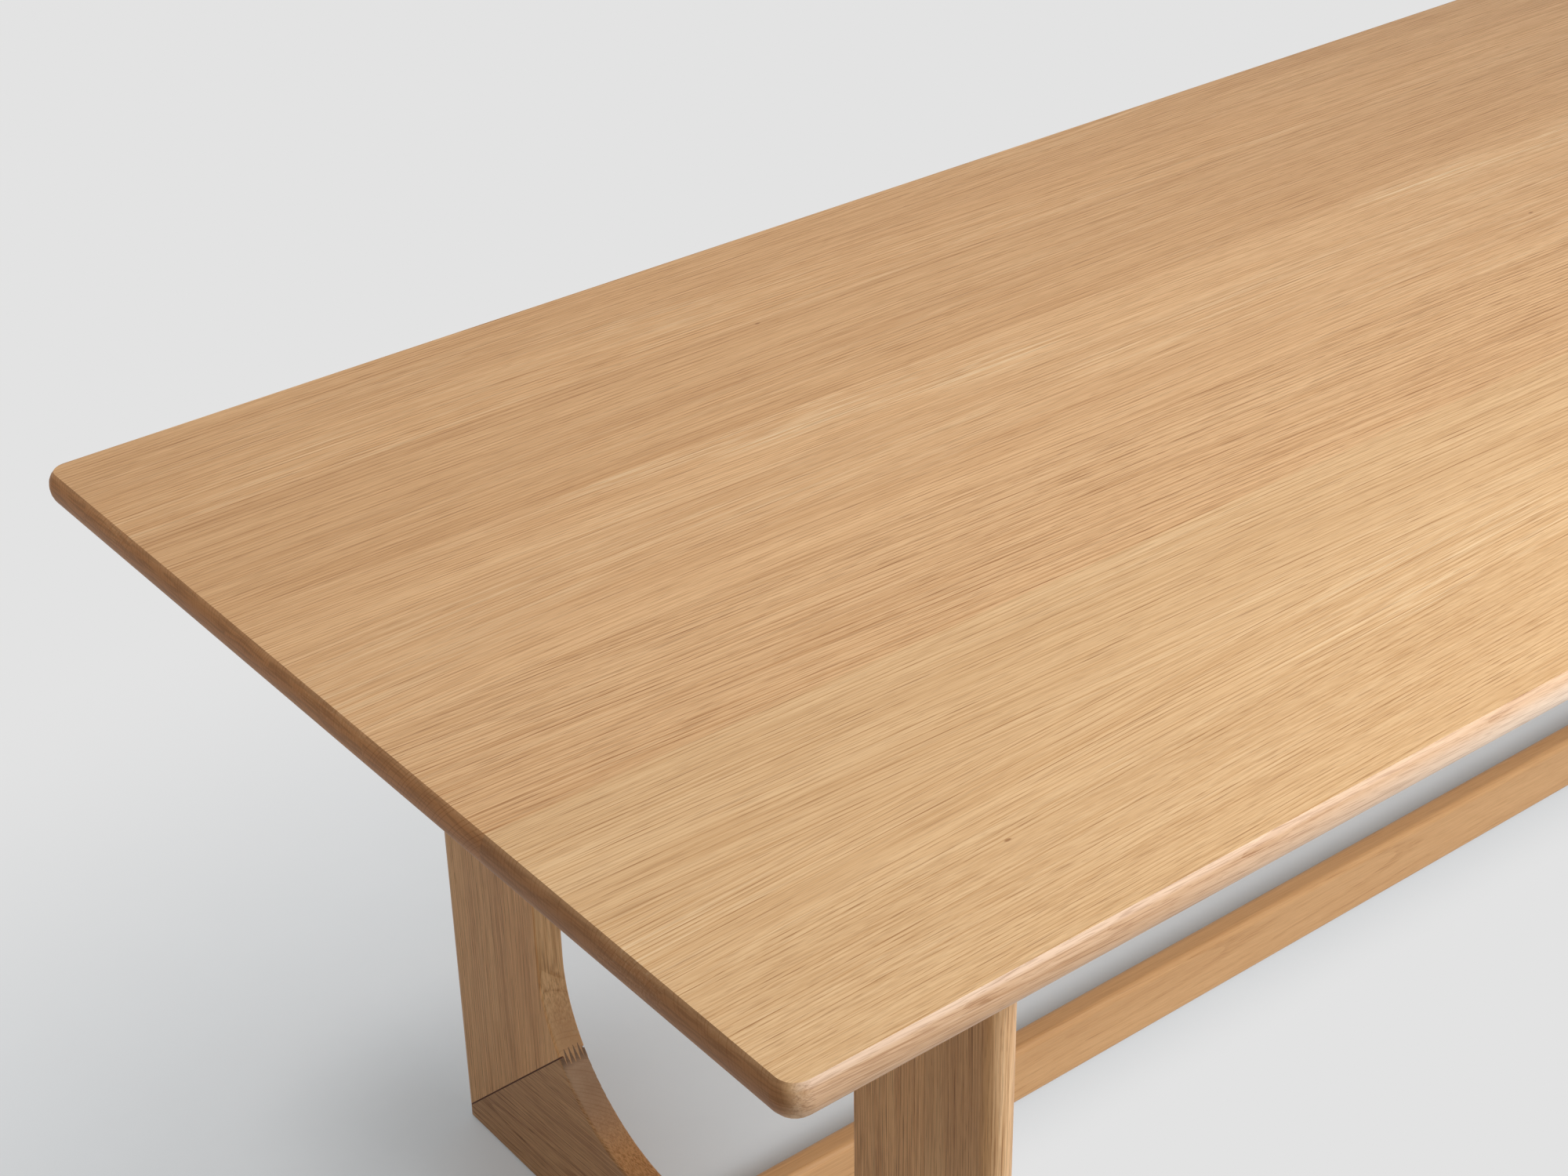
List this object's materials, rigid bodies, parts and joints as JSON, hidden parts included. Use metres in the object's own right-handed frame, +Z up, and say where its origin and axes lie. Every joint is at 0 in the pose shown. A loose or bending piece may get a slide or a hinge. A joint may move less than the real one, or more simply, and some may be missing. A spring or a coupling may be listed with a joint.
{
  "type": "trestle dining table",
  "caption": "Solid oak dining table: a glued stave top with rounded edges on U-shaped mitred trestles joined by a low stretcher.",
  "frame": {"origin": "on the floor under the middle of the table", "axes": "+X along the length, towards the right trestle; +Y across, towards the far long side; +Z up"},
  "size_m": [2.2, 0.965, 0.74],
  "materials": {
    "oak": "clear matt oil on natural oak",
    "dowel": "bare beech",
    "bolt": "zinc plated",
    "insert": "plain",
    "channel": "black powder coat",
    "glide": "plain nylon"
  },
  "bodies": {
    "root": {"top_stave_1": "oak", "top_stave_2": "oak", "top_stave_3": "oak", "top_stave_4": "oak", "top_stave_5": "oak", "top_stave_6": "oak", "top_stave_7": "oak", "top_stave_8": "oak", "top_stave_9": "oak", "left_upright_near_outer": "oak", "left_upright_near_inner": "oak", "left_upright_far_outer": "oak", "left_upright_far_inner": "oak", "left_rail": "oak", "left_bearer": "oak", "left_upright_dowels": "dowel", "left_upright_bolts": "bolt", "left_bolt_washers": "bolt", "left_barrel_nuts": "bolt", "left_bearer_screws": "bolt", "left_screw_washers": "bolt", "left_top_inserts": "insert", "left_glides": "glide", "left_halving_bolt": "bolt", "left_halving_washer": "bolt", "left_halving_insert": "insert", "left_channel": "channel", "right_upright_near_outer": "oak", "right_upright_near_inner": "oak", "right_upright_far_outer": "oak", "right_upright_far_inner": "oak", "right_rail": "oak", "right_bearer": "oak", "right_upright_dowels": "dowel", "right_upright_bolts": "bolt", "right_bolt_washers": "bolt", "right_barrel_nuts": "bolt", "right_bearer_screws": "bolt", "right_screw_washers": "bolt", "right_top_inserts": "insert", "right_glides": "glide", "right_halving_bolt": "bolt", "right_halving_washer": "bolt", "right_halving_insert": "insert", "right_channel": "channel", "channel_screws": "bolt", "stretcher": "oak"}
  },
  "joints": []
}
